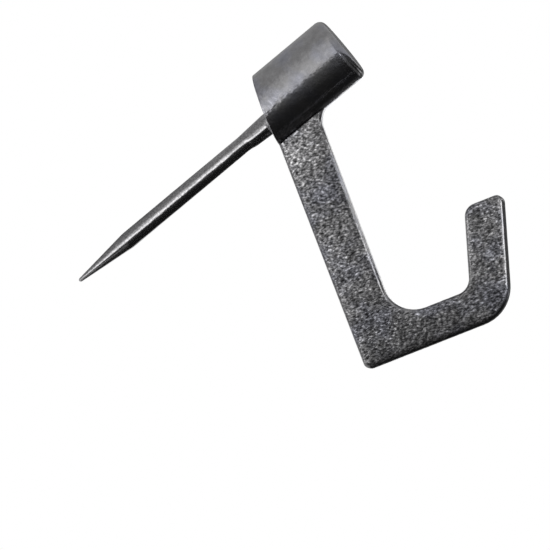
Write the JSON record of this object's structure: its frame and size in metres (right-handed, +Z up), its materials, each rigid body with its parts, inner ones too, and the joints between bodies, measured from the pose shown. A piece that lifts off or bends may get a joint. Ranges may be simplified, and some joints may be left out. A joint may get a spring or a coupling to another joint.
{
  "type": "picture hook",
  "caption": "Hammer-in picture hook: a flat J-shaped plate under a solid round striking head, with a hardened nail that slopes into the wall.",
  "frame": {"origin": "on the hook's wall edge, at mid-thickness and level with the cradle's seat", "axes": "+X out from the wall, +Y through the plate's thickness, +Z up along the wall"},
  "size_m": [0.0425, 0.0072, 0.0341],
  "materials": {
    "hook_body": "tumbled dark metal, grainy on the flats and smooth on the rounds",
    "nail": "drawn and hardened dark steel"
  },
  "bodies": {
    "root": {"hook_body": "hook_body", "nail": "nail"}
  },
  "joints": []
}
